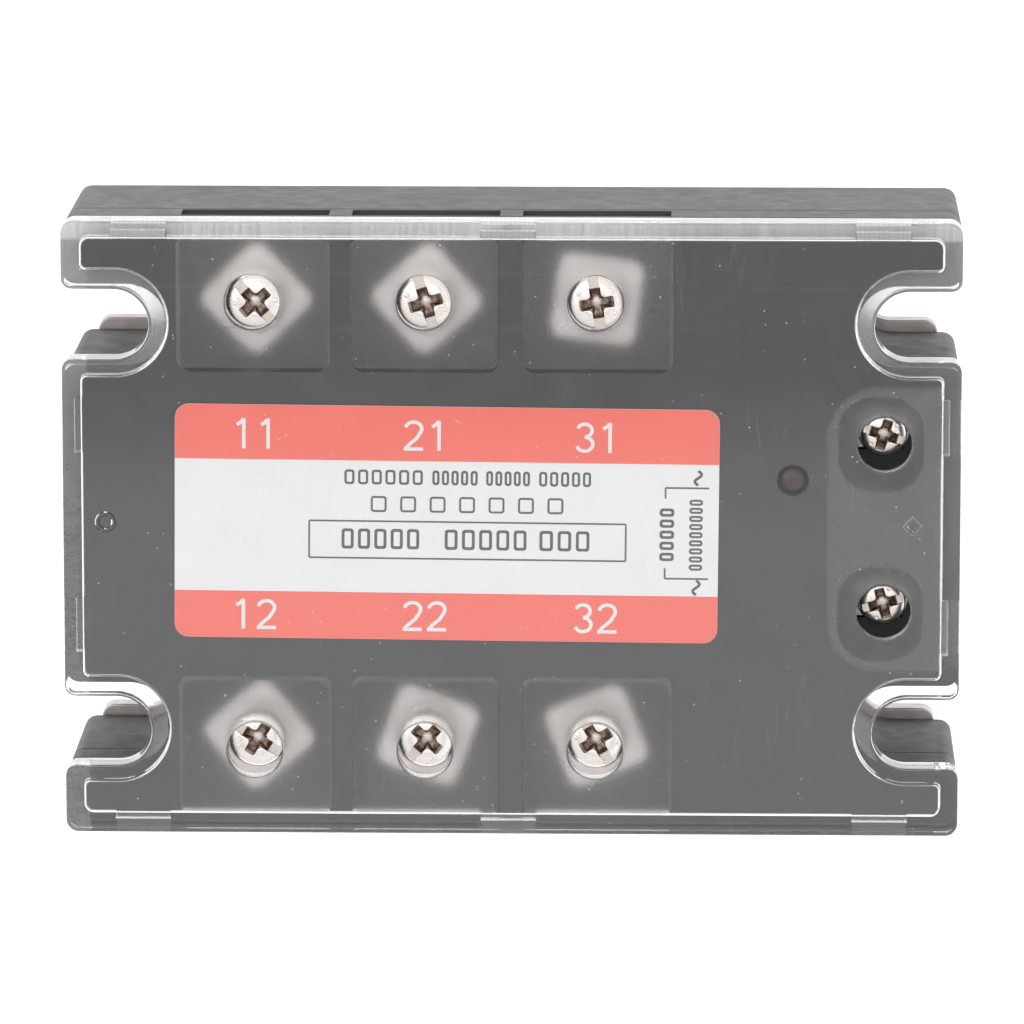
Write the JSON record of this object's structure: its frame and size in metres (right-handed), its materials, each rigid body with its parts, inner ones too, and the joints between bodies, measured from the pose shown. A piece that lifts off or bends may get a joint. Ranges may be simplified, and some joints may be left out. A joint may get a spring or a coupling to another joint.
{
  "type": "solid state relay",
  "caption": "Three-phase solid state relay: slotted black case on a metal base plate, screw clamp terminals in open bays, printed label and clip-on clear cover.",
  "frame": {"origin": "centre of the base plate's back face", "axes": "+X along the row of output terminals towards the input terminals, +Y across the case, +Z out of the back face towards the clear cover"},
  "size_m": [0.105, 0.0728, 0.033],
  "materials": {
    "black_plastic": "fine moulded grain, semi-matt",
    "clear_plastic": "clear polycarbonate, polished, with frosted patches over the terminals",
    "plate_metal": "rolled, sawn edges",
    "nickel_plate": "bright nickel plating",
    "spring_steel": "zinc-plated spring steel",
    "tinned_copper": "tinned",
    "label_film": "printed film, satin",
    "lamp_lens": "tinted clear epoxy, unlit",
    "board_green": "solder mask",
    "ceramic": "fired alumina",
    "chip_black": "moulded epoxy",
    "resistor_blue": "lacquer",
    "capacitor_red": "dipped epoxy",
    "capacitor_yellow": "moulded box",
    "capacitor_sleeve": "shrink sleeve"
  },
  "bodies": {
    "housing": {"base_plate": "plate_metal", "base_screw_1": "spring_steel", "base_screw_2": "spring_steel", "base_screw_3": "spring_steel", "base_screw_4": "spring_steel", "lower_housing": "black_plastic", "upper_housing": "black_plastic", "label": "label_film", "status_led": "lamp_lens", "output_terminal_top_1": "tinned_copper", "output_terminal_top_2": "tinned_copper", "output_terminal_top_3": "tinned_copper", "output_terminal_bottom_1": "tinned_copper", "output_terminal_bottom_2": "tinned_copper", "output_terminal_bottom_3": "tinned_copper", "input_terminal_plus": "tinned_copper", "input_terminal_minus": "tinned_copper", "thyristor_pair_1": "ceramic", "thyristor_pair_2": "ceramic", "thyristor_pair_3": "ceramic", "circuit_board": "board_green", "optocoupler_1": "chip_black", "optocoupler_2": "chip_black", "optocoupler_3": "chip_black", "snubber_resistor_1": "resistor_blue", "snubber_resistor_2": "resistor_blue", "snubber_resistor_3": "resistor_blue", "snubber_capacitor_1": "capacitor_red", "snubber_capacitor_2": "capacitor_red", "snubber_capacitor_3": "capacitor_red", "dropper_capacitor": "capacitor_yellow", "filter_capacitor": "capacitor_sleeve", "bridge_rectifier": "chip_black"},
    "cover": {"clear_cover": "clear_plastic"},
    "output_clamp_set_top_1": {"output_clamp_top_1": "nickel_plate", "output_spring_washer_top_1": "spring_steel"},
    "output_screw_top_1_body": {"output_screw_top_1": "nickel_plate"},
    "output_clamp_set_top_2": {"output_clamp_top_2": "nickel_plate", "output_spring_washer_top_2": "spring_steel"},
    "output_screw_top_2_body": {"output_screw_top_2": "nickel_plate"},
    "output_clamp_set_top_3": {"output_clamp_top_3": "nickel_plate", "output_spring_washer_top_3": "spring_steel"},
    "output_screw_top_3_body": {"output_screw_top_3": "nickel_plate"},
    "output_clamp_set_bottom_1": {"output_clamp_bottom_1": "nickel_plate", "output_spring_washer_bottom_1": "spring_steel"},
    "output_screw_bottom_1_body": {"output_screw_bottom_1": "nickel_plate"},
    "output_clamp_set_bottom_2": {"output_clamp_bottom_2": "nickel_plate", "output_spring_washer_bottom_2": "spring_steel"},
    "output_screw_bottom_2_body": {"output_screw_bottom_2": "nickel_plate"},
    "output_clamp_set_bottom_3": {"output_clamp_bottom_3": "nickel_plate", "output_spring_washer_bottom_3": "spring_steel"},
    "output_screw_bottom_3_body": {"output_screw_bottom_3": "nickel_plate"},
    "input_clamp_set_plus": {"input_clamp_plus": "nickel_plate", "input_spring_washer_plus": "spring_steel"},
    "input_screw_plus_body": {"input_screw_plus": "nickel_plate"},
    "input_clamp_set_minus": {"input_clamp_minus": "nickel_plate", "input_spring_washer_minus": "spring_steel"},
    "input_screw_minus_body": {"input_screw_minus": "nickel_plate"}
  },
  "joints": [
    {"name": "cover_lift", "type": "slide", "parent": "housing", "child": "cover", "axis": [0, 0, 1], "range_m": [0, 0.025]},
    {"name": "output_lift_top_1", "type": "slide", "parent": "housing", "child": "output_clamp_set_top_1", "axis": [0, 0, 1], "range_m": [0, 0.00245]},
    {"name": "output_turn_top_1", "type": "hinge", "parent": "output_clamp_set_top_1", "child": "output_screw_top_1_body", "pos_m": [-0.0301, 0.0261, 0.024], "axis": [0, 0, 1], "range_deg": [0, 1260]},
    {"name": "output_lift_top_2", "type": "slide", "parent": "housing", "child": "output_clamp_set_top_2", "axis": [0, 0, 1], "range_m": [0, 0.00245]},
    {"name": "output_turn_top_2", "type": "hinge", "parent": "output_clamp_set_top_2", "child": "output_screw_top_2_body", "pos_m": [-0.0101, 0.0261, 0.024], "axis": [0, 0, 1], "range_deg": [0, 1260]},
    {"name": "output_lift_top_3", "type": "slide", "parent": "housing", "child": "output_clamp_set_top_3", "axis": [0, 0, 1], "range_m": [0, 0.00245]},
    {"name": "output_turn_top_3", "type": "hinge", "parent": "output_clamp_set_top_3", "child": "output_screw_top_3_body", "pos_m": [0.0099, 0.0261, 0.024], "axis": [0, 0, 1], "range_deg": [0, 1260]},
    {"name": "output_lift_bottom_1", "type": "slide", "parent": "housing", "child": "output_clamp_set_bottom_1", "axis": [0, 0, 1], "range_m": [0, 0.00245]},
    {"name": "output_turn_bottom_1", "type": "hinge", "parent": "output_clamp_set_bottom_1", "child": "output_screw_bottom_1_body", "pos_m": [-0.0301, -0.0261, 0.024], "axis": [0, 0, 1], "range_deg": [0, 1260]},
    {"name": "output_lift_bottom_2", "type": "slide", "parent": "housing", "child": "output_clamp_set_bottom_2", "axis": [0, 0, 1], "range_m": [0, 0.00245]},
    {"name": "output_turn_bottom_2", "type": "hinge", "parent": "output_clamp_set_bottom_2", "child": "output_screw_bottom_2_body", "pos_m": [-0.0101, -0.0261, 0.024], "axis": [0, 0, 1], "range_deg": [0, 1260]},
    {"name": "output_lift_bottom_3", "type": "slide", "parent": "housing", "child": "output_clamp_set_bottom_3", "axis": [0, 0, 1], "range_m": [0, 0.00245]},
    {"name": "output_turn_bottom_3", "type": "hinge", "parent": "output_clamp_set_bottom_3", "child": "output_screw_bottom_3_body", "pos_m": [0.0099, -0.0261, 0.024], "axis": [0, 0, 1], "range_deg": [0, 1260]},
    {"name": "input_lift_plus", "type": "slide", "parent": "housing", "child": "input_clamp_set_plus", "axis": [0, 0, 1], "range_m": [0, 0.002]},
    {"name": "input_turn_plus", "type": "hinge", "parent": "input_clamp_set_plus", "child": "input_screw_plus_body", "pos_m": [0.04365, 0.0101, 0.024], "axis": [0, 0, 1], "range_deg": [0, 1440]},
    {"name": "input_lift_minus", "type": "slide", "parent": "housing", "child": "input_clamp_set_minus", "axis": [0, 0, 1], "range_m": [0, 0.002]},
    {"name": "input_turn_minus", "type": "hinge", "parent": "input_clamp_set_minus", "child": "input_screw_minus_body", "pos_m": [0.04365, -0.0101, 0.024], "axis": [0, 0, 1], "range_deg": [0, 1440]}
  ],
  "couplings": [
    {"joint": "output_turn_top_1", "follows": "output_lift_top_1", "rad_per_m": 8976},
    {"joint": "output_turn_top_2", "follows": "output_lift_top_2", "rad_per_m": 8976},
    {"joint": "output_turn_top_3", "follows": "output_lift_top_3", "rad_per_m": 8976},
    {"joint": "output_turn_bottom_1", "follows": "output_lift_bottom_1", "rad_per_m": 8976},
    {"joint": "output_turn_bottom_2", "follows": "output_lift_bottom_2", "rad_per_m": 8976},
    {"joint": "output_turn_bottom_3", "follows": "output_lift_bottom_3", "rad_per_m": 8976},
    {"joint": "input_turn_plus", "follows": "input_lift_plus", "rad_per_m": 12566},
    {"joint": "input_turn_minus", "follows": "input_lift_minus", "rad_per_m": 12566}
  ]
}
